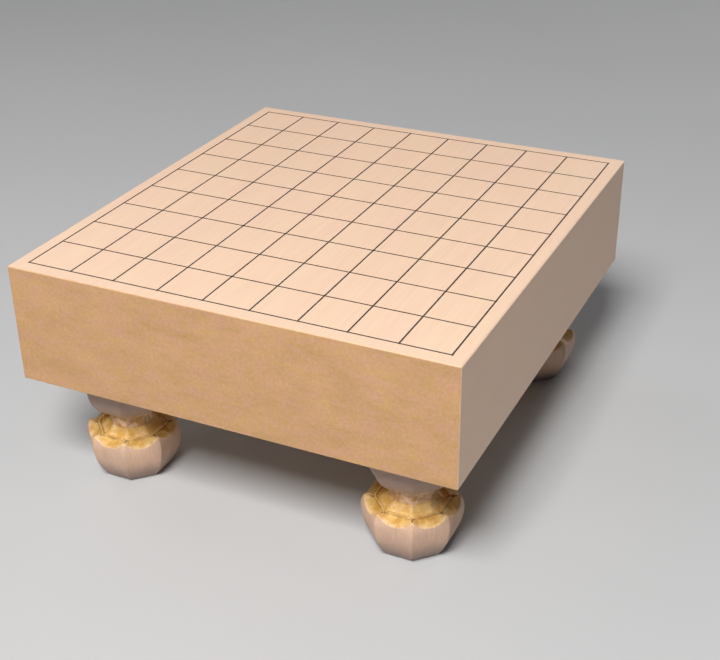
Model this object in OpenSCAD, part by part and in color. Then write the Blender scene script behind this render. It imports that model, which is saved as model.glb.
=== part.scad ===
// Legged shogi board: a thick block of pale wood on four carved octagonal legs.
// Millimetres. The origin is on the floor under the middle of the board, X across the
// players' view, Y from the near player to the far one and Z up.

/* [Board] */
// Width of the board, from side to side
board_width = 333; // [300:1:370]
// Length of the board, from player to player
board_length = 364; // [330:1:400]
// Thickness of the board
board_thickness = 89; // [60:1:180]
// Chamfer along every edge of the board
edge_chamfer = 0.8; // [0.4:0.1:3]

/* [Grid] */
// Squares along each side of the grid
squares = 9; // [7:1:11]
// Squares from the corner of the grid to a star point
star_squares = 3; // [2:1:3]
// Bare margin on the left and right of the grid
side_margin = 10.4; // [6:0.1:20]
// Bare margin at the two ends of the grid
end_margin = 11; // [6:0.1:20]
// Width of a lacquer line
line_width = 0.8; // [0.5:0.1:1.5]
// Height of a lacquer line above the wood
line_height = 0.1; // [0.05:0.05:0.3]
// Diameter of a star point
star_diameter = 2.4; // [1.6:0.1:5]
// Height of a star point above the wood
star_height = 0.1; // [0.05:0.05:0.4]

/* [Underside recess] */
// Width of the square recess at its mouth
recess_width = 84; // [60:1:110]
// Width of the square recess at its floor
recess_floor = 64; // [46:1:84]
// Depth of the recess
recess_depth = 24; // [12:1:40]
// Width of the pyramid that is left standing in the recess
pyramid_width = 44; // [20:1:44]
// Height of that pyramid
pyramid_height = 12; // [4:1:12]

/* [Leg placing and joint] */
// Height of a leg from the floor to the board
leg_height = 90; // [82:1:120]
// Distance from the board's edges to the axis of a leg
leg_inset = 52; // [44:1:70]
// Diameter of the mortise in the board
mortise_diameter = 30; // [20:1:36]
// Length of the tenon on a leg
tenon_length = 30; // [15:1:40]
// Radial clearance between tenon and mortise
tenon_clearance = 0.05; // [0.01:0.01:0.1]
// Room between the end of the tenon and the bottom of the mortise
tenon_end_room = 1; // [0.5:0.1:3]
// Chamfer on the end of the tenon
tenon_chamfer = 2; // [0.5:0.1:4]

/* [Leg bulb] */
// Radius over the corners where the bulb is widest
belly_radius = 35.8; // [34:0.1:42]
// Height of the widest level above the floor
belly_height = 29; // [24:0.5:32]
// Radius over the corners of the flat foot
foot_radius = 24.5; // [18:0.1:30]
// Radius over the corners of the rim
rim_radius = 33.4; // [31:0.1:33.8]
// Height of the rim's points above the floor
rim_height = 37.5; // [35:0.5:42]

/* [Leg petals] */
// Drop from the rim's points to the middle of a scooped petal
petal_drop = 5.2; // [4:0.1:7]
// Width of the ridge left between two petals at the rim
petal_point = 2; // [1:0.1:3]
// Radius over the corners of the lip where the petals end
lip_radius = 27; // [26:0.1:28.5]
// Height of the lip above the end of a petal
lip_step = 2; // [1.7:0.1:2.5]
// Thickness of the lip, over the corners
lip_thickness = 1.7; // [1:0.1:2]
// Depth of the cut that runs round the foot of the lip
trench_depth = 1.5; // [0.5:0.1:1.6]
// Width of that cut
trench_width = 2.4; // [1:0.1:3]
// Depth of the groove behind the lip
groove_depth = 2.6; // [1:0.1:4]
// Width of the notch that parts the lip at a corner
notch_width = 1.6; // [1:0.1:3]
// Depth of that notch
notch_depth = 1.8; // [0.5:0.1:2.5]
// Width of the stop cut that steps down from each ridge into the petal beside it
stop_width = 3.2; // [2:0.1:4]
// Depth of that stop cut at the lip
stop_depth = 2.4; // [1:0.1:2.6]
// Radius at which that stop cut runs out on the ridge
stop_reach = 33; // [32:0.1:34]

/* [Leg crown and neck] */
// Radius over the corners where the crown rises out of the groove
crown_radius = 24; // [22.5:0.1:24.8]
// Height above the floor where the sloping crown meets the stem
crown_height = 41; // [40:0.5:44]
// Depth of the hollow in each facet of the crown
crown_hollow = 1; // [0.4:0.1:1.6]
// Width of the ridge left between two hollows at the stem
crown_ridge = 1.2; // [0.6:0.1:4]
// Radius over the corners of the stem
stem_radius = 16.5; // [14:0.1:19]
// Height above the floor where the neck swells out of the stem
waist_height = 50; // [48:0.5:56]
// Radius over the corners where the neck turns upright
neck_radius = 35; // [33:0.1:38]
// Height above the floor where the neck turns upright
neck_height = 76; // [70:0.5:80]
// Radius over the corners at the top of the neck
top_radius = 35.6; // [33:0.1:40]

/* [Hidden] */
$fn = 96;
sides = 8;
corner_angle = 180 / sides;
board_z = leg_height;
top_z = board_z + board_thickness;
grid_width = board_width - 2 * side_margin;
grid_length = board_length - 2 * end_margin;
cell_width = grid_width / squares;
cell_length = grid_length / squares;
star_x = grid_width / 2 - star_squares * cell_width;
star_y = grid_length / 2 - star_squares * cell_length;
leg_x = board_width / 2 - leg_inset;
leg_y = board_length / 2 - leg_inset;
groove_floor = rim_height - groove_depth;
// Lean of a stop cut's steep wall, which keeps it clear of the corner
stop_lean = 0.3;
// Spare length that carries a cut clear past the face it opens
overrun = 1;
// Width of the pyramid at its tip
pyramid_tip = 0.2;

// Distance from the axis to the middle of a facet, from the radius over the corners
function flat(radius) = radius * cos(corner_angle);

// Half the width of a facet, from the radius over the corners
function half_side(radius) = radius * sin(corner_angle);

// Radius of the arc that bends in by drop over a length of rise
function arc_radius(drop, rise) = (drop * drop + rise * rise) / (2 * drop);

// Rectangle about the origin with its four corners cut at 45 degrees
module chamfered_rectangle(width, length, cut) {
  x = width / 2;
  y = length / 2;
  polygon([
    [x - cut, -y], [x, cut - y], [x, y - cut], [x - cut, y],
    [cut - x, y], [-x, y - cut], [-x, cut - y], [cut - x, -y]
  ]);
}

// Block about the origin with all twelve edges cut at 45 degrees
module chamfered_block(size, cut) {
  intersection() {
    linear_extrude(size.z, center = true)
      chamfered_rectangle(size.x, size.y, cut);
    rotate([90, 0, 0])
      linear_extrude(size.y, center = true)
        chamfered_rectangle(size.x, size.z, cut);
    rotate([90, 0, 90])
      linear_extrude(size.x, center = true)
        chamfered_rectangle(size.y, size.z, cut);
  }
}

// Outline about the Z axis that runs straight from one half width to another
module taper(half_low, half_high, low, high) {
  polygon([[-half_low, low], [half_low, low], [half_high, high], [-half_high, high]]);
}

// Everything on the inner side of a circle's right half
module arc_side(centre, radius, reach) {
  translate(centre)
    circle(radius);
  translate([-reach, centre.y - radius])
    square([reach + centre.x, 2 * radius]);
}

// Outline about the Z axis whose sides are arcs, upright at one half width and level
module swell(half, level, radius, low, high) {
  reach = half + radius;
  intersection() {
    arc_side([half - radius, level], radius, reach);
    mirror([1, 0])
      arc_side([half - radius, level], radius, reach);
    translate([-reach, low])
      square([2 * reach, high - low]);
  }
}

// Solid whose level sections are octagons, from its outline across two opposite facets
module octagonal(reach) {
  intersection_for (turn = [0 : sides / 2 - 1])
    rotate([90, 0, turn * 360 / sides])
      linear_extrude(2 * reach + 2 * overrun, center = true)
        children();
}

// Square pyramid frustum that stands on z = 0
module square_frustum(width_low, width_high, height) {
  intersection_for (turn = [0, 90])
    rotate([90, 0, turn])
      linear_extrude(max(width_low, width_high) + 2 * overrun, center = true)
        taper(width_low / 2, width_high / 2, 0, height);
}

// Places a piece at one of the four legs, by the signs of its X and Y
module at_leg(side, end) {
  translate([side * leg_x, end * leg_y, 0])
    children();
}

// Square recess under the board, with a low pyramid left standing on its floor
module recess() {
  slope = (recess_width - recess_floor) / recess_depth;
  difference() {
    translate([0, 0, -overrun])
      square_frustum(recess_width + slope * overrun, recess_floor, recess_depth + overrun);
    translate([0, 0, recess_depth - pyramid_height])
      square_frustum(pyramid_tip, pyramid_width, pyramid_height + overrun);
  }
}

module board() {
  color("burlywood")
    difference() {
      translate([0, 0, board_z + board_thickness / 2])
        chamfered_block([board_width, board_length, board_thickness], edge_chamfer);
      for (side = [-1, 1], end = [-1, 1])
        at_leg(side, end)
          translate([0, 0, board_z - overrun])
            cylinder(d = mortise_diameter, h = tenon_length + tenon_end_room + overrun);
      translate([0, 0, board_z])
        recess();
    }
}

// Places a piece at each of the four star points
module at_stars() {
  for (x = [-star_x, star_x], y = [-star_y, star_y])
    translate([x, y])
      children();
}

module grid_lines() {
  color("black")
    translate([0, 0, top_z])
      linear_extrude(line_height)
        difference() {
          square([grid_width + line_width, grid_length + line_width], center = true);
          for (column = [0 : squares - 1], row = [0 : squares - 1])
            translate([
              column * cell_width - grid_width / 2 + line_width / 2,
              row * cell_length - grid_length / 2 + line_width / 2
            ])
              square([cell_width - line_width, cell_length - line_width]);
          at_stars()
            circle(d = star_diameter);
        }
}

module star_points() {
  color("black")
    translate([0, 0, top_z])
      at_stars()
        cylinder(d = star_diameter, h = star_height);
}

// Bulb of a leg from its foot to its rim, upright where it is widest, before it is carved
module bulb() {
  half = flat(belly_radius);
  belly_curve = arc_radius(half - flat(foot_radius), belly_height);
  shoulder_curve = arc_radius(half - flat(rim_radius), rim_height - belly_height);
  octagonal(belly_radius) {
    swell(half, belly_height, belly_curve, 0, belly_height);
    swell(half, belly_height, shoulder_curve, belly_height, rim_height);
  }
}

// Octagonal prism between two heights
module octagonal_prism(radius, low, high) {
  octagonal(radius)
    taper(flat(radius), flat(radius), low, high);
}

// Gouge cut of one petal, in the facet that faces +X. The cut is a straight round channel
// that falls outwards from the foot of the lip and leaves a ridge at each corner of the rim.
module petal_cut() {
  inner_x = flat(lip_radius);
  outer_x = flat(belly_radius);
  point_x = flat(rim_radius);
  inner_z = rim_height - lip_step;
  outer_z = rim_height - petal_drop;
  fall = atan2(inner_z - outer_z, outer_x - inner_x);
  point_depth = petal_drop * cos(fall) - (outer_x - point_x) * sin(fall);
  radius = arc_radius(point_depth, half_side(rim_radius) - petal_point / 2);
  reach = 2 * (outer_x - inner_x);
  intersection() {
    translate([outer_x, 0, outer_z])
      rotate([0, fall - 90, 0])
        translate([radius, 0, -reach])
          cylinder(r = radius, h = 2 * reach);
    translate([inner_x - overrun, -radius, outer_z - radius])
      cube([reach, 2 * radius, petal_drop + radius + overrun / 2]);
  }
}

// Stop cut beside the ridge at one corner: a steep wall just short of the corner and a floor
// that rises from its foot into the next petal. It is deepest at the lip and runs out at the rim.
module stop_cut() {
  run = stop_reach - lip_radius;
  back = stop_width * tan(corner_angle);
  height = stop_depth + overrun;
  spread = height / stop_depth;
  rotate([0, 0, corner_angle])
    translate([lip_radius, -stop_lean, rim_height - stop_depth])
      rotate([90 - atan2(stop_depth, run), 0, 90])
        translate([0, 0, -back])
          linear_extrude(back + run + stop_depth)
            polygon([[0, 0], [stop_width * spread, height], [-stop_lean * spread, height]]);
}

// Sloping cut that runs round the foot of the lip, carried on under it
module lip_trench() {
  slope = trench_depth / trench_width;
  foot_x = flat(lip_radius);
  low_z = rim_height - trench_depth - slope * overrun;
  high_z = rim_height + slope * overrun;
  octagonal(rim_radius)
    taper(foot_x - overrun, foot_x + trench_width + overrun, low_z, high_z);
}

// Everything carved away outside the lip
module petal_ring() {
  difference() {
    union() {
      lip_trench();
      for (facet = [0 : sides - 1])
        rotate([0, 0, facet * 360 / sides]) {
          petal_cut();
          stop_cut();
        }
    }
    octagonal_prism(lip_radius, rim_height - petal_drop, rim_height + 2 * overrun);
  }
}

// V-shaped notch that parts the lip at the corner between two petals
module notch_cut() {
  rotate([0, 0, corner_angle])
    translate([lip_radius - 2 * lip_thickness, 0, rim_height])
      rotate([90, 0, 90])
        linear_extrude(3 * lip_thickness)
          polygon([[0, -notch_depth], [notch_width / 2, 0], [-notch_width / 2, 0]]);
}

// Bulb with its ring of scooped petals, the lip above them and the groove behind the lip
module carved_bulb() {
  difference() {
    bulb();
    petal_ring();
    for (facet = [0 : sides - 1])
      rotate([0, 0, facet * 360 / sides])
        notch_cut();
    octagonal_prism(lip_radius - lip_thickness, groove_floor, rim_height + overrun);
  }
}

// Gouge cut that hollows the crown's facet that faces +X from the stem to the groove
module crown_cut() {
  run = flat(crown_radius - stem_radius);
  rise = crown_height - groove_floor;
  lean = atan2(run, rise);
  length = norm([run, rise]);
  radius = arc_radius(crown_hollow, half_side(stem_radius) - crown_ridge / 2);
  translate([flat(crown_radius), 0, groove_floor])
    rotate([0, -lean, 0])
      translate([radius - crown_hollow, 0, -length])
        cylinder(r = radius, h = 3 * length);
}

// Sloping crown with hollow facets that rises from the groove and ends inside the stem
module crown() {
  slope = flat(crown_radius - stem_radius) / (crown_height - groove_floor);
  low_half = flat(crown_radius) + slope * overrun;
  high_half = flat(stem_radius) - slope * overrun;
  difference() {
    octagonal(crown_radius + overrun)
      taper(low_half, high_half, groove_floor - overrun, crown_height + overrun);
    for (facet = [0 : sides - 1])
      rotate([0, 0, facet * 360 / sides])
        crown_cut();
  }
}

// Stem that stands in the bulb and runs up inside the neck
module stem() {
  octagonal_prism(stem_radius, groove_floor - overrun, neck_height);
}

// Neck that swells out of the stem, turns upright and spreads up to the board
module neck() {
  half = flat(neck_radius);
  neck_curve = arc_radius(half - flat(stem_radius), neck_height - waist_height);
  octagonal(max(neck_radius, top_radius)) {
    swell(half, neck_height, neck_curve, waist_height - overrun, neck_height);
    taper(half, flat(top_radius), neck_height, leg_height);
  }
}

// Round tenon with a chamfered end, rooted in the neck
module tenon() {
  radius = mortise_diameter / 2 - tenon_clearance;
  tip_z = leg_height + tenon_length - tenon_chamfer;
  translate([0, 0, neck_height])
    cylinder(r = radius, h = tip_z - neck_height);
  translate([0, 0, tip_z])
    cylinder(r1 = radius, r2 = radius - tenon_chamfer, h = tenon_chamfer);
}

// One leg, carved from a single piece of wood together with its tenon
module carved_leg() {
  color("wheat") {
    carved_bulb();
    crown();
    stem();
    neck();
    tenon();
  }
}

module leg_front_left() {
  at_leg(-1, -1)
    carved_leg();
}

module leg_front_right() {
  at_leg(1, -1)
    carved_leg();
}

module leg_rear_left() {
  at_leg(-1, 1)
    carved_leg();
}

module leg_rear_right() {
  at_leg(1, 1)
    carved_leg();
}

board();
grid_lines();
star_points();
leg_front_left();
leg_front_right();
leg_rear_left();
leg_rear_right();
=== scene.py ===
"""Looks of the legged shogi board: wood, lacquer, carved legs, floor, light and camera.

Metres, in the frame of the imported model: X runs across the board, Y from the near player to
the far one and Z up, with the floor at zero.
"""

import math

import bpy
import numpy as np
from mathutils import Matrix, Vector


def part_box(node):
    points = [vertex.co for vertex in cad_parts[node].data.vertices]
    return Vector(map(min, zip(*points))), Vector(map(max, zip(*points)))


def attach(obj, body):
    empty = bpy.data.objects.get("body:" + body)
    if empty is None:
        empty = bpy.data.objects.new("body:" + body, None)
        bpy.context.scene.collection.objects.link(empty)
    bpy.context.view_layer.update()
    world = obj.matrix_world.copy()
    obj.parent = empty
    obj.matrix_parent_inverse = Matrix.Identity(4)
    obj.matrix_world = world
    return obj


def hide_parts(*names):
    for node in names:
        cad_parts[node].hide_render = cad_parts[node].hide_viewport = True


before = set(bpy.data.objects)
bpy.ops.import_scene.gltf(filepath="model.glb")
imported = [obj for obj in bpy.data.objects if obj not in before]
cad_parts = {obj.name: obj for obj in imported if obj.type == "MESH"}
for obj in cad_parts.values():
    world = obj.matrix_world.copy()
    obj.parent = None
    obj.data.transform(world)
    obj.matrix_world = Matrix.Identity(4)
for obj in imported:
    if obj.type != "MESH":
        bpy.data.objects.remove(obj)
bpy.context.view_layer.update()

MM = 0.001
LEG_NODES = ["leg_front_left", "leg_front_right", "leg_rear_left", "leg_rear_right"]

# Camera
CAMERA_PLACE = Vector((0.3909, -0.7903, 0.5572))
CAMERA_AIM = Vector((0.0, 0.0290, 0.0613))
CAMERA_ROLL = math.radians(-0.61)
FOCAL_LENGTH = 63.89
SENSOR_WIDTH = 36.0

# Studio
FLOOR_HALF = 6.0
LIGHT_AIM = Vector((0.0, 0.0, 0.1))
SKY_COLOUR = (0.9, 0.93, 1.0, 1.0)
SKY_STRENGTH = 0.08

# Edges of the board and of the lacquer
BOARD_EDGE_ROUND = 0.35 * MM
LACQUER_EDGE_ROUND = 0.045 * MM
ROUND_SEGMENTS = 3
SHARP_ANGLE = math.radians(30)
JOIN_FACES = 0.001 * MM
JOIN_POINTS = 0.005 * MM

# Mesh of the legs
LEG_VOXEL = 0.35 * MM
LEG_SMOOTHING = 1
LEG_SOFTEN = 0.5
LEG_KEEP = 0.2
QUARTER_TURN = math.pi / 2
GROUP_STEPS = 20
TINY = 1e-9

# Carving of the legs: heights above the floor, and reaches from the axis of the leg
FACETS = 8
FACET_TURN = math.pi / 4
CARVED_LOW = 30 * MM
CARVED_HIGH = 54 * MM
CARVED_LOW_FADE = 2 * MM
CARVED_HIGH_FADE = 3 * MM
UPWARD_LOW = 0.30
UPWARD_HIGH = 0.55
REACH_FADE = 1 * MM
LIP_REACH = 28.3 * MM
LIP_FLAT = 24.94 * MM
LIP_TOP = 37.2 * MM
LIP_FADE = 0.6 * MM
CREASE_INNER = (-0.25 * MM, 0.1 * MM)
CREASE_OUTER = (0.2 * MM, 0.9 * MM)
STOP_START = -0.5 * MM
STOP_WIDTH = 3.2 * MM
STOP_DEEP = 0.3 * STOP_WIDTH
STOP_REACH = 32.0 * MM
RIM_REACH = 33.0 * MM
CROWN_REACH = 24.5 * MM
STEM_REACH = 18.5 * MM
STEM_LOW = 40.0 * MM
STEM_FADE = 1.5 * MM
# Painted shade at the foot of each leg: full up to the first height, gone from the second
FOOT_LOW = 2 * MM
FOOT_HIGH = 21.0 * MM
# Painted shade on the neck of each leg, under the board: it starts at the first height and is full at the
# second
NECK_SHADE_LOW = 50.0 * MM
NECK_SHADE_FULL = 58.0 * MM
JOINT_LOW = 85.0 * MM
JOINT_FADE = 3 * MM
PLANED_MARK = 0.16 * MM
PLANED_SPAN = 11.0 * MM
CHISEL_MARK = 0.32 * MM
CHISEL_SPAN = 5.5 * MM
BEND_FULL = 0.25
BEND_START = 0.2 * BEND_FULL

# How strongly the foot, the bends and the creases of a leg are marked: painted shade at the foot, in
# hollow bends, along the creases at the lip's foot and in the stop cuts, and paler wood on ridges
FOOT_SHADE_SHARE = 0.72
BEND_SHARE = 0.7
CREASE_SHARE = 0.4
PALE_EDGE_SHARE = 0.6
HOLLOW_SHADE_SHARE = 0.9

# Growth rings: the axis of the trunk lies along Y, outside the block
PITH_X = -0.42
PITH_Z = -0.30
RING_STEP = 2.1 * MM
RING_WANDER = 0.012
LONG_RING_SHARE = 0.09
END_RING_SHARE = 0.22

# Wear and lacquer on the board
END_FACING = (0.45, 0.8)
TOP_FACING = 0.9
EDGE_WEAR = 0.9 * MM
EDGE_WEAR_SHARE = 0.6
LINE_WIDTH = 0.8 * MM
LINE_BLEED = 0.5 * MM
LINE_CREEP = LINE_BLEED / 10
LINE_BLEED_SHARE = 0.85
GRID_CELLS = 9

# Fine relief and sheen of the surfaces
BOARD_RELIEF = 0.03 * MM
LEG_RELIEF = 0.05 * MM
LACQUER_RELIEF = 0.01 * MM
FLOOR_RELIEF = 0.01 * MM
LACQUER_SPECULAR = 0.25
FLOOR_ROUGHNESS = 0.8

# Colours of the board, in pairs where they vary from cloud to cloud
CREAM = ((0.78, 0.553, 0.387), (0.725, 0.511, 0.375))
CREAM_ROSE = (0.76, 0.50, 0.38)
CREAM_STREAK = (0.68, 0.46, 0.305)
CREAM_RING = (0.56, 0.36, 0.22)
TAN = ((0.510, 0.296, 0.122), (0.430, 0.245, 0.097))
TAN_ROSE = (0.515, 0.270, 0.180)
TAN_RING = (0.35, 0.195, 0.095)
TAN_FLECK = (0.20, 0.11, 0.055)
WORN_WOOD = (0.84, 0.62, 0.43)
BLED_WOOD = (0.10, 0.06, 0.04)

# Colours of the legs, in pairs where they vary from patch to patch
LEG_PLANED = ((0.60, 0.390, 0.268), (0.515, 0.335, 0.242))
# Painted shade: darker, greyer wood on the neck, where the board shades the leg
LEG_NECK_SHADE = (0.365, 0.248, 0.19)
# Painted shade: dark colour at the foot of each leg, near the floor
LEG_FOOT_SHADE = (0.23, 0.16, 0.148)
PETAL_INNER = ((0.50, 0.265, 0.045), (0.66, 0.42, 0.125))
PETAL_OUTER = ((0.58, 0.34, 0.115), (0.72, 0.50, 0.27))
# Ochre of the end grain on the crown, made lighter than on the petals to offset the board's shadow there:
# partly painted light
LEG_CROWN_LIT = ((0.70, 0.40, 0.085), (0.80, 0.53, 0.21))
LEG_STEM = ((0.54, 0.29, 0.09), (0.86, 0.62, 0.44))
LEG_STROKE = (0.50, 0.28, 0.09)
LEG_EDGE = (0.86, 0.66, 0.44)
# Painted shade: near-black brown laid into hollow bends, creases and stop cuts
LEG_HOLLOW_SHADE = (0.20, 0.10, 0.035)
LEG_SHIFT = (0.37, 0.11, 0.23)

# Colours of the lacquer and the floor
LACQUER_BLACK = ((0.012, 0.010, 0.009), (0.035, 0.028, 0.024))
FLOOR_GREY = ((0.45, 0.45, 0.45), (0.48, 0.48, 0.48))

# Sockets of a node that mixes colours
MIX_SHARE = 0
MIX_FIRST = 6
MIX_SECOND = 7
MIX_RESULT = 2


class Graph:
    """A material's node tree, with one call for each node."""

    def __init__(self, name):
        self.material = bpy.data.materials.new(name)
        self.material.use_nodes = True
        self.tree = self.material.node_tree
        self.shader = self.tree.nodes["Principled BSDF"]
        self.coords = self.tree.nodes.new("ShaderNodeTexCoord")

    def add(self, kind, inputs=None, **settings):
        """Adds a node, with its settings, and its inputs by name or index as numbers or sockets."""
        node = self.tree.nodes.new(kind)
        for key, value in settings.items():
            setattr(node, key, value)
        for key, value in (inputs or {}).items():
            self.set(node.inputs[key], value)
        return node

    def set(self, socket, value):
        """Links a socket to an input, or gives the input a number."""
        if isinstance(value, bpy.types.NodeSocket):
            self.tree.links.new(value, socket)
        else:
            socket.default_value = value

    def math(self, operation, first, second=0.0):
        """Result of an operation on one or two numbers or sockets."""
        node = self.add("ShaderNodeMath", {0: first, 1: second}, operation=operation)
        return node.outputs[0]

    def stretch(self, scale, shift=(0.0, 0.0, 0.0)):
        """Object coordinates, shifted and then scaled along each axis."""
        place = self.coords.outputs["Object"]
        moved = self.add("ShaderNodeVectorMath", {0: place, 1: shift}, operation="ADD").outputs[0]
        scaled = self.add("ShaderNodeVectorMath", {0: moved, 1: scale}, operation="MULTIPLY")
        return scaled.outputs[0]

    def noise(self, scale, detail=3.0, roughness=0.5, shift=(0.0, 0.0, 0.0)):
        """Noise from 0 to 1, whose scale is in cells per metre along each axis."""
        place = self.stretch(scale, shift)
        inputs = {"Vector": place, "Scale": 1.0, "Detail": detail, "Roughness": roughness}
        return self.add("ShaderNodeTexNoise", inputs).outputs["Fac"]

    def range(self, value, low, high, to_low=0.0, to_high=1.0):
        """Value carried over smoothly from one range to another, and held at its ends."""
        inputs = {"Value": value, "From Min": low, "From Max": high, "To Min": to_low, "To Max": to_high}
        node = self.add("ShaderNodeMapRange", inputs, interpolation_type="SMOOTHSTEP")
        return node.outputs["Result"]

    def mix(self, share, first, second, blend="MIX"):
        """Mixes two colours, each a socket or a red, green and blue triple."""
        node = self.add("ShaderNodeMix", data_type="RGBA", blend_type=blend)
        self.set(node.inputs[MIX_SHARE], share)
        for place, colour in ((MIX_FIRST, first), (MIX_SECOND, second)):
            linked = isinstance(colour, bpy.types.NodeSocket)
            self.set(node.inputs[place], colour if linked else (*colour, 1.0))
        return node.outputs[MIX_RESULT]

    def shade(self, colour, value):
        """Colour multiplied by a grey value."""
        grey = self.add("ShaderNodeCombineColor", {0: value, 1: value, 2: value})
        return self.mix(1.0, colour, grey.outputs[0], "MULTIPLY")

    def mark(self, name):
        """Value that a mesh carries on its points."""
        return self.add("ShaderNodeAttribute", attribute_name=name).outputs["Fac"]

    def bump(self, height, distance, strength):
        """Normals of a surface with a fine relief."""
        inputs = {"Height": height, "Distance": distance, "Strength": strength}
        return self.add("ShaderNodeBump", inputs).outputs["Normal"]

    def finish(self, colour, roughness, normal):
        """Fills the shader in and returns the material."""
        self.set(self.shader.inputs["Base Color"], colour)
        self.set(self.shader.inputs["Roughness"], roughness)
        self.set(self.shader.inputs["Normal"], normal)
        return self.material


def ring_lines(graph):
    """Growth rings from 0, early wood, to 1, the dark line of late wood."""
    wander = graph.noise((6.0, 1.2, 6.0), detail=2.0)
    axis = graph.stretch((1.0, 0.0, 1.0), (-PITH_X, 0.0, -PITH_Z))
    reach = graph.add("ShaderNodeVectorMath", {0: axis}, operation="LENGTH").outputs["Value"]
    bent = graph.math("MULTIPLY", wander, RING_WANDER)
    phase = graph.math("FRACT", graph.math("DIVIDE", graph.math("ADD", reach, bent), RING_STEP))
    rise = graph.math("POWER", phase, 4.0)
    fall = graph.range(phase, 0.93, 1.0, 1.0, 0.0)
    return graph.math("MULTIPLY", rise, fall)


def long_grain(graph, rings, fibre):
    """Cream wood, cut along the grain."""
    cloud = graph.noise((9.0, 3.0, 9.0), detail=4.0)
    blush = graph.noise((45.0, 14.0, 45.0), detail=3.0, shift=(0.7, 0.2, 0.4))
    streak = graph.noise((240.0, 5.0, 240.0), detail=3.0)
    colour = graph.mix(cloud, *CREAM)
    colour = graph.mix(graph.range(blush, 0.4, 0.7, 0.0, 0.35), colour, CREAM_ROSE)
    colour = graph.mix(graph.range(streak, 0.3, 0.75, 0.0, 0.09), colour, CREAM_STREAK)
    colour = graph.mix(graph.math("MULTIPLY", rings, LONG_RING_SHARE), colour, CREAM_RING)
    return graph.shade(colour, graph.range(fibre, 0.3, 0.75, 0.955, 1.025))


def end_grain(graph, rings):
    """Tan wood, cut across the grain, in clouds of olive and rose."""
    blotch = graph.noise((24.0, 6.0, 60.0), detail=5.0, roughness=0.6)
    blush = graph.noise((75.0, 10.0, 170.0), detail=5.0, roughness=0.65, shift=(0.3, 0.5, 0.1))
    pores = graph.noise((420.0, 60.0, 420.0), detail=4.0, roughness=0.65)
    fleck = graph.noise((150.0, 40.0, 150.0), detail=1.0)
    colour = graph.mix(graph.range(blotch, 0.3, 0.7), *TAN)
    colour = graph.mix(graph.range(blush, 0.36, 0.68, 0.0, 0.6), colour, TAN_ROSE)
    colour = graph.mix(graph.math("MULTIPLY", rings, END_RING_SHARE), colour, TAN_RING)
    colour = graph.shade(colour, graph.range(pores, 0.3, 0.7, 0.92, 1.07))
    return graph.mix(graph.range(fleck, 0.77, 0.84, 0.0, 0.45), colour, TAN_FLECK)


def edge_wear(graph, place):
    """How worn the board is, from 0 to 1 at its outer edges, which lie near two faces at once."""
    low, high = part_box("board")
    away = []
    for axis in range(3):
        middle = (high[axis] + low[axis]) / 2
        half = (high[axis] - low[axis]) / 2
        off = graph.math("ABSOLUTE", graph.math("SUBTRACT", place.outputs[axis], middle))
        away.append(graph.math("SUBTRACT", half, off))
    nearest = graph.math("MINIMUM", away[0], away[1])
    farthest = graph.math("MAXIMUM", away[0], away[1])
    second = graph.math("MAXIMUM", nearest, graph.math("MINIMUM", farthest, away[2]))
    uneven = graph.range(graph.noise((90.0, 90.0, 90.0), detail=3.0), 0.35, 0.65, 0.35, 1.0)
    return graph.math("MULTIPLY", graph.range(second, 0.0, EDGE_WEAR, 1.0, 0.0), uneven)


def line_bleed(graph, place, upward):
    """How far the lacquer of the ruled lines has crept into the wood beside them, from 0 to 1."""
    low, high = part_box("grid_lines")
    creep = graph.noise((900.0, 260.0, 900.0), detail=2.0)
    creep = graph.range(creep, 0.3, 0.7, -LINE_CREEP, LINE_CREEP)
    half_line = LINE_WIDTH / 2
    half_grid = GRID_CELLS / 2
    shares = []
    inside = upward
    for axis in range(2):
        pitch = (high[axis] - low[axis] - LINE_WIDTH) / GRID_CELLS
        along = graph.math("SUBTRACT", place.outputs[axis], low[axis] + half_line)
        cells = graph.math("DIVIDE", along, pitch)
        off = graph.math("ABSOLUTE", graph.math("SUBTRACT", cells, graph.math("ROUND", cells)))
        away = graph.math("ADD", graph.math("MULTIPLY", off, pitch), creep)
        shares.append(graph.range(away, half_line, half_line + LINE_BLEED, 1.0, 0.0))
        reach = graph.math("ABSOLUTE", graph.math("SUBTRACT", cells, half_grid))
        edge = half_grid + (half_line + LINE_BLEED) / pitch
        inside = graph.math("MULTIPLY", inside, graph.math("LESS_THAN", reach, edge))
    return graph.math("MULTIPLY", graph.math("MAXIMUM", *shares), inside)


def board_wood():
    """Pale straight-grained wood: cream on the long grain, tan on the end grain."""
    graph = Graph("board_wood_planed")
    facing = graph.add("ShaderNodeSeparateXYZ", {0: graph.coords.outputs["Normal"]})
    place = graph.add("ShaderNodeSeparateXYZ", {0: graph.coords.outputs["Object"]})
    across = graph.range(graph.math("ABSOLUTE", facing.outputs["Y"]), *END_FACING)
    upward = graph.math("GREATER_THAN", facing.outputs["Z"], TOP_FACING)
    rings = ring_lines(graph)
    fibre = graph.noise((1400.0, 26.0, 1400.0), detail=3.0, roughness=0.6)
    colour = graph.mix(across, long_grain(graph, rings, fibre), end_grain(graph, rings))
    worn = graph.math("MULTIPLY", edge_wear(graph, place), EDGE_WEAR_SHARE)
    colour = graph.mix(worn, colour, WORN_WOOD)
    bleed = graph.math("MULTIPLY", line_bleed(graph, place, upward), LINE_BLEED_SHARE)
    colour = graph.mix(bleed, colour, BLED_WOOD)
    roughness = graph.range(fibre, 0.2, 0.8, 0.40, 0.56)
    relief = graph.math("ADD", fibre, graph.math("MULTIPLY", rings, 0.5))
    return graph.finish(colour, roughness, graph.bump(relief, BOARD_RELIEF, 0.5))


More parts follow.
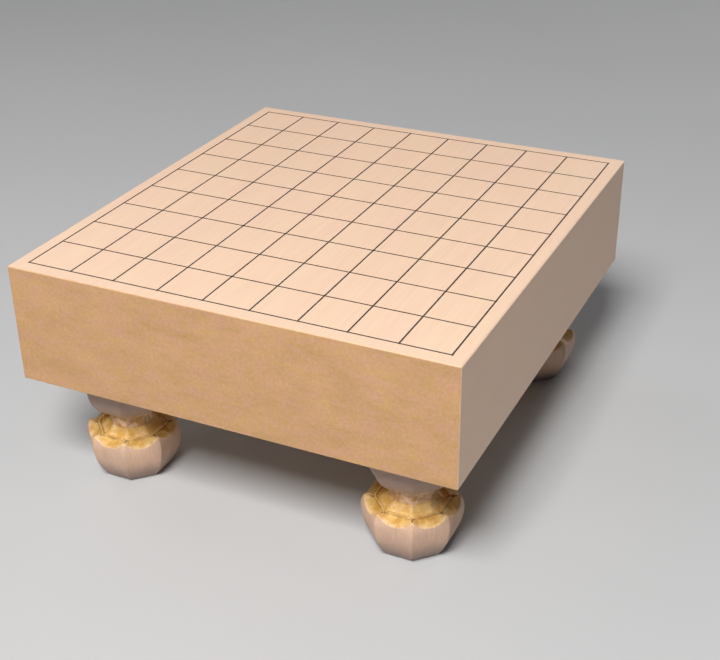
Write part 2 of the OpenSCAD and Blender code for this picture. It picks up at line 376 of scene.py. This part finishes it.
def leg_wood(seed):
    """Pale carved wood, with ochre where the chisel has cut across the grain, painted shade on the neck,
    at the foot and in the hollows, and some painted light on the crown.
    """
    graph = Graph(f"leg_wood_carved_{seed}")
    shift = tuple(step * seed for step in LEG_SHIFT)
    cloud = graph.noise((70.0, 70.0, 25.0), detail=3.0, shift=shift)
    fibre = graph.noise((1300.0, 1300.0, 40.0), detail=3.0, roughness=0.6, shift=shift)
    mottle = graph.noise((170.0, 170.0, 170.0), detail=4.0, roughness=0.55, shift=shift)
    stroke = graph.noise((520.0, 520.0, 520.0), detail=2.0, shift=shift)
    patch = graph.range(mottle, 0.36, 0.62)
    planed = graph.mix(graph.range(cloud, 0.3, 0.7), *LEG_PLANED)
    # painted shade on the neck, under the board
    planed = graph.mix(graph.mark("neck"), planed, LEG_NECK_SHADE)
    # painted shade at the foot, near the floor
    planed = graph.mix(graph.mark("foot"), planed, LEG_FOOT_SHADE)
    carved = graph.mix(graph.mark("rim"), graph.mix(patch, *PETAL_INNER), graph.mix(patch, *PETAL_OUTER))
    # crown: end-grain ochre, partly painted light against the board's shadow
    carved = graph.mix(graph.mark("crown"), carved, graph.mix(patch, *LEG_CROWN_LIT))
    carved = graph.mix(graph.mark("stem"), carved, graph.mix(patch, *LEG_STEM))
    carved = graph.mix(graph.range(stroke, 0.35, 0.75, 0.0, 0.3), carved, LEG_STROKE)
    colour = graph.mix(graph.mark("cut"), planed, carved)
    pale = graph.math("MULTIPLY", graph.mark("edge"), PALE_EDGE_SHARE)
    colour = graph.mix(pale, colour, LEG_EDGE)
    # painted shade in hollow bends, along the creases below the lip and in the stop cuts
    dark = graph.math("MULTIPLY", graph.mark("hollow"), HOLLOW_SHADE_SHARE)
    colour = graph.mix(dark, colour, LEG_HOLLOW_SHADE)
    colour = graph.shade(colour, graph.range(fibre, 0.3, 0.75, 0.90, 1.05))
    roughness = graph.range(mottle, 0.2, 0.8, 0.45, 0.62)
    relief = graph.math("ADD", fibre, stroke)
    return graph.finish(colour, roughness, graph.bump(relief, LEG_RELIEF, 0.5))


def lacquer():
    """Black lacquer, satin, a little uneven."""
    graph = Graph("lacquer_black")
    drift = graph.noise((500.0, 500.0, 500.0), detail=3.0)
    colour = graph.mix(drift, *LACQUER_BLACK)
    roughness = graph.range(drift, 0.3, 0.7, 0.38, 0.52)
    graph.shader.inputs["Specular IOR Level"].default_value = LACQUER_SPECULAR
    return graph.finish(colour, roughness, graph.bump(drift, LACQUER_RELIEF, 0.4))


def floor_paint():
    """Plain pale matt floor."""
    graph = Graph("floor_pale")
    drift = graph.noise((3.0, 3.0, 3.0), detail=2.0)
    colour = graph.mix(drift, *FLOOR_GREY)
    return graph.finish(colour, FLOOR_ROUGHNESS, graph.bump(drift, FLOOR_RELIEF, 0.1))


def new_object(name, data):
    """Object in the scene, made from a mesh, a lens or a light."""
    made = bpy.data.objects.new(name, data)
    bpy.context.scene.collection.objects.link(made)
    return made


def apply_modifiers(target):
    """Turns an object's modifiers into its mesh."""
    bpy.context.view_layer.update()
    shown = target.evaluated_get(bpy.context.evaluated_depsgraph_get())
    mesh = bpy.data.meshes.new_from_object(shown)
    target.modifiers.clear()
    target.data = mesh
    return mesh


def dress(target, material, body, node):
    """Gives a finished piece its material, hides the part that it stands for and hangs it on the body that
    it rides on.
    """
    target.data.name = target.name
    target.data.materials.clear()
    target.data.materials.append(material)
    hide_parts(node)
    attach(target, body)


def add_weld(target, name, distance):
    """Joins the points that lie closer together than a distance."""
    weld = target.modifiers.new(name, "WELD")
    weld.merge_threshold = distance


def rounded_copy(node, name, width):
    """Copy of a node's mesh with its sharp edges rounded."""
    target = new_object(name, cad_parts[node].data.copy())
    add_weld(target, "join_faces", JOIN_FACES)
    bevel = target.modifiers.new("round", "BEVEL")
    bevel.width = width
    bevel.segments = ROUND_SEGMENTS
    bevel.limit_method = "ANGLE"
    bevel.angle_limit = SHARP_ANGLE
    bevel.harden_normals = True
    add_weld(target, "join_points", JOIN_POINTS)
    apply_modifiers(target)
    return target


def points_of(mesh):
    """Places of a mesh's points, one row for each."""
    points = np.empty(3 * len(mesh.vertices))
    mesh.vertices.foreach_get("co", points)
    return points.reshape(-1, 3)


def normals_of(mesh):
    """Normals at a mesh's points, one row for each."""
    normals = np.empty(3 * len(mesh.vertices))
    mesh.vertex_normals.foreach_get("vector", normals)
    return normals.reshape(-1, 3)


def reach_of(points):
    """Distance of each point from the axis of its leg."""
    return np.hypot(points[:, 0], points[:, 1])


def smooth_step(values, low, high):
    """Shares that rise smoothly from 0 at the low value to 1 at the high one."""
    share = np.clip((values - low) / (high - low), 0.0, 1.0)
    return share * share * (3.0 - 2.0 * share)


def smooth_drop(values, low, high):
    """Shares that fall smoothly from 1 at the low value to 0 at the high one."""
    return 1.0 - smooth_step(values, low, high)


def leg_axis(node):
    """Middle of a leg's box, through which its axis runs."""
    low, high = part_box(node)
    return (Vector(low) + Vector(high)) / 2


def cut_share(points, normals):
    """How far each point of a leg lies on a surface that was cut across the grain, from 0 to 1."""
    level = smooth_step(points[:, 2], CARVED_LOW, CARVED_LOW + CARVED_LOW_FADE)
    level *= smooth_drop(points[:, 2], CARVED_HIGH - CARVED_HIGH_FADE, CARVED_HIGH)
    upward = smooth_step(normals[:, 2], UPWARD_LOW, UPWARD_HIGH)
    inside = smooth_drop(reach_of(points), LIP_REACH, LIP_REACH + REACH_FADE)
    return level * np.maximum(upward, inside)


def stem_share(points):
    """How far each point of a leg lies on the stem, from 0 to 1."""
    inside = smooth_drop(reach_of(points), STEM_REACH, STEM_REACH + REACH_FADE)
    return inside * smooth_step(points[:, 2], STEM_LOW, STEM_LOW + STEM_FADE)


def lip_level(points):
    """How far each point of a leg lies above the start of the carving and below the lip's top."""
    above = smooth_step(points[:, 2], CARVED_LOW, CARVED_LOW + CARVED_LOW_FADE)
    return above * smooth_drop(points[:, 2], LIP_TOP - LIP_FADE, LIP_TOP)


def crease_share(points):
    """How near each point of a leg lies to the foot of its lip, from 0 to 1."""
    turns = np.arange(FACETS) * FACET_TURN
    facets = np.vstack((np.cos(turns), np.sin(turns)))
    across = np.max(points[:, :2] @ facets, axis=1) - LIP_FLAT
    outside = smooth_step(across, *CREASE_INNER) * smooth_drop(across, *CREASE_OUTER)
    return outside * lip_level(points)


def stop_share(points):
    """How deep each point of a leg lies in the stop cut beside a corner, from 0 to 1."""
    reach = reach_of(points)
    turn = np.arctan2(points[:, 1], points[:, 0]) / FACET_TURN - 0.5
    beside = reach * np.sin((turn - np.round(turn)) * FACET_TURN)
    near = smooth_step(beside, STOP_START, 0.0) * smooth_drop(beside, STOP_DEEP, STOP_WIDTH)
    along = smooth_step(reach, LIP_FLAT, LIP_FLAT + REACH_FADE) * smooth_drop(reach, LIP_REACH, STOP_REACH)
    return near * along * lip_level(points)


def bend_of(mesh, points, normals):
    """Mean bend of the surface at each point: above zero on ridges, below zero in hollows."""
    ends = np.empty(2 * len(mesh.edges), dtype=np.int64)
    mesh.edges.foreach_get("vertices", ends)
    first, second = ends.reshape(-1, 2).T
    across = points[second] - points[first]
    across /= np.maximum(np.linalg.norm(across, axis=1, keepdims=True), TINY)
    bend = np.zeros(len(points))
    count = np.zeros(len(points))
    np.add.at(bend, first, -np.sum(normals[first] * across, axis=1))
    np.add.at(bend, second, np.sum(normals[second] * across, axis=1))
    np.add.at(count, first, 1.0)
    np.add.at(count, second, 1.0)
    bend /= np.maximum(count, 1.0)
    near = np.zeros(len(points))
    np.add.at(near, first, bend[second])
    np.add.at(near, second, bend[first])
    return (bend + near / np.maximum(count, 1.0)) / 2


def blank_leg(node):
    """Leg about its own axis with softened edges, from the solid of a node."""
    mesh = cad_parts[node].data.copy()
    axis = leg_axis(node)
    mesh.transform(Matrix.Translation((-axis.x, -axis.y, 0.0)))
    target = new_object("leg_blank", mesh)
    voxels = target.modifiers.new("voxels", "REMESH")
    voxels.mode = "VOXEL"
    voxels.voxel_size = LEG_VOXEL
    soften = target.modifiers.new("soften", "SMOOTH")
    soften.factor = LEG_SOFTEN
    soften.iterations = LEG_SMOOTHING
    mesh = apply_modifiers(target)
    bpy.data.objects.remove(target)
    return mesh


def add_marks(target, name, group, depth, span):
    """Lifts and lowers the points of a group by up to a depth, with an even noise."""
    clouds = bpy.data.textures.new(name, "CLOUDS")
    clouds.noise_scale = span
    clouds.noise_depth = 1
    lift = target.modifiers.new(name, "DISPLACE")
    lift.texture = clouds
    lift.vertex_group = group
    lift.strength = 2 * depth
    lift.mid_level = 0.5


def fill_group(target, name, shares):
    """Vertex group that holds each point's share, in even steps."""
    group = target.vertex_groups.new(name=name)
    steps = np.round(shares * GROUP_STEPS).astype(int)
    for step in range(1, GROUP_STEPS + 1):
        group.add(np.flatnonzero(steps == step).tolist(), step / GROUP_STEPS, "REPLACE")


def carve(target):
    """Leaves the small marks of plane and chisel on a leg, and thins its mesh out."""
    points = points_of(target.data)
    cut = cut_share(points, normals_of(target.data))
    joint = smooth_step(points[:, 2], JOINT_LOW, JOINT_LOW + JOINT_FADE)
    fill_group(target, "planed_points", (1.0 - cut) * (1.0 - joint))
    fill_group(target, "cut_points", cut)
    add_marks(target, "plane_marks", "planed_points", PLANED_MARK, PLANED_SPAN)
    add_marks(target, "chisel_marks", "cut_points", CHISEL_MARK, CHISEL_SPAN)
    thin = target.modifiers.new("thin", "DECIMATE")
    thin.ratio = LEG_KEEP
    mesh = apply_modifiers(target)
    points = points_of(mesh)
    points[:, 2] = np.maximum(points[:, 2], 0.0)
    mesh.vertices.foreach_set("co", points.ravel())
    mesh.update()
    return mesh


def mark_surfaces(mesh):
    """Stores on each point of a leg what its colour depends on."""
    points = points_of(mesh)
    normals = normals_of(mesh)
    reach = reach_of(points)
    bend = bend_of(mesh, points, normals)
    # Painted shade, from three masks: hollow bends, the crease at the lip's foot and the stop cut beside
    # each corner
    bent_in_shade = BEND_SHARE * smooth_step(-bend, BEND_START, BEND_FULL)
    crease_shade = CREASE_SHARE * crease_share(points)
    shares = {
        "cut": cut_share(points, normals),
        # crown: lighter ochre, partly painted light
        "crown": smooth_drop(reach, CROWN_REACH - REACH_FADE, CROWN_REACH),
        "stem": stem_share(points),
        "rim": smooth_step(reach, LIP_REACH, RIM_REACH),
        # painted shade on the neck, under the board
        "neck": smooth_step(points[:, 2], NECK_SHADE_LOW, NECK_SHADE_FULL),
        # painted shade at the foot, near the floor
        "foot": FOOT_SHADE_SHARE * smooth_drop(points[:, 2], FOOT_LOW, FOOT_HIGH),
        "edge": smooth_step(bend, BEND_START, BEND_FULL),
        # painted shade in the hollows
        "hollow": np.maximum.reduce([bent_in_shade, crease_shade, stop_share(points)]),
    }
    for name, values in shares.items():
        layer = mesh.attributes.new(name, "FLOAT", "POINT")
        layer.data.foreach_set("value", values)


def make_legs():
    """One carved leg for each leg node, each turned and marked a little differently."""
    blank = blank_leg(LEG_NODES[0])
    for seed, node in enumerate(LEG_NODES):
        target = new_object(f"carved_{node}", blank.copy())
        target.data.transform(Matrix.Rotation(seed * QUARTER_TURN, 4, "Z"))
        mesh = carve(target)
        mark_surfaces(mesh)
        mesh.shade_smooth()
        axis = leg_axis(node)
        mesh.transform(Matrix.Translation((axis.x, axis.y, 0.0)))
        dress(target, leg_wood(seed), node, node)


def make_board():
    """The planed block, with the lines and the dots of lacquer on it."""
    board = rounded_copy("board", "planed_board", BOARD_EDGE_ROUND)
    dress(board, board_wood(), "board", "board")
    black = lacquer()
    lines = rounded_copy("grid_lines", "ruled_lines", LACQUER_EDGE_ROUND)
    dress(lines, black, "board", "grid_lines")
    stars = rounded_copy("star_points", "star_dots", LACQUER_EDGE_ROUND)
    dress(stars, black, "board", "star_points")


def make_camera():
    """Camera that sees the board from in front, from above and from the right."""
    lens = bpy.data.cameras.new("camera")
    lens.sensor_fit = "HORIZONTAL"
    lens.sensor_width = SENSOR_WIDTH
    lens.lens = FOCAL_LENGTH
    camera = new_object("camera", lens)
    aim = (CAMERA_AIM - CAMERA_PLACE).to_track_quat("-Z", "Y").to_matrix().to_4x4()
    camera.matrix_world = Matrix.Translation(CAMERA_PLACE) @ aim @ Matrix.Rotation(CAMERA_ROLL, 4, "Z")
    bpy.context.scene.camera = camera


def soft_box(name, azimuth, elevation, distance, size, power):
    """Square studio light that faces the board. Azimuth 0 is in front, 90 on the right."""
    turn = math.radians(azimuth)
    lift = math.radians(elevation)
    out = Vector((math.sin(turn) * math.cos(lift), -math.cos(turn) * math.cos(lift), math.sin(lift)))
    light = bpy.data.lights.new(name, "AREA")
    light.size = size
    light.energy = power
    lamp = new_object(name, light)
    lamp.location = LIGHT_AIM + out * distance
    lamp.rotation_euler = (-out).to_track_quat("-Z", "Y").to_euler()


def make_studio():
    """Pale floor, soft light and an even sky."""
    mesh = bpy.data.meshes.new("floor")
    corners = [(x * FLOOR_HALF, y * FLOOR_HALF, 0.0) for x, y in ((-1, -1), (1, -1), (1, 1), (-1, 1))]
    mesh.from_pydata(corners, [], [(0, 1, 2, 3)])
    floor = new_object("floor", mesh)
    mesh.materials.append(floor_paint())
    soft_box("key_light", azimuth=10.0, elevation=51.0, distance=2.4, size=0.8, power=80.0)
    soft_box("fill_light", azimuth=-35.0, elevation=25.0, distance=3.0, size=1.6, power=3.0)
    soft_box("side_light", azimuth=245.0, elevation=40.0, distance=3.4, size=2.0, power=14.0)
    soft_box("rear_light", azimuth=170.0, elevation=14.0, distance=3.4, size=2.0, power=23.0)
    world = bpy.data.worlds.new("studio")
    world.use_nodes = True
    sky = world.node_tree.nodes["Background"]
    sky.inputs["Color"].default_value = SKY_COLOUR
    sky.inputs["Strength"].default_value = SKY_STRENGTH
    bpy.context.scene.world = world
    bpy.context.scene.view_settings.view_transform = "Standard"


make_camera()
make_studio()
make_board()
make_legs()
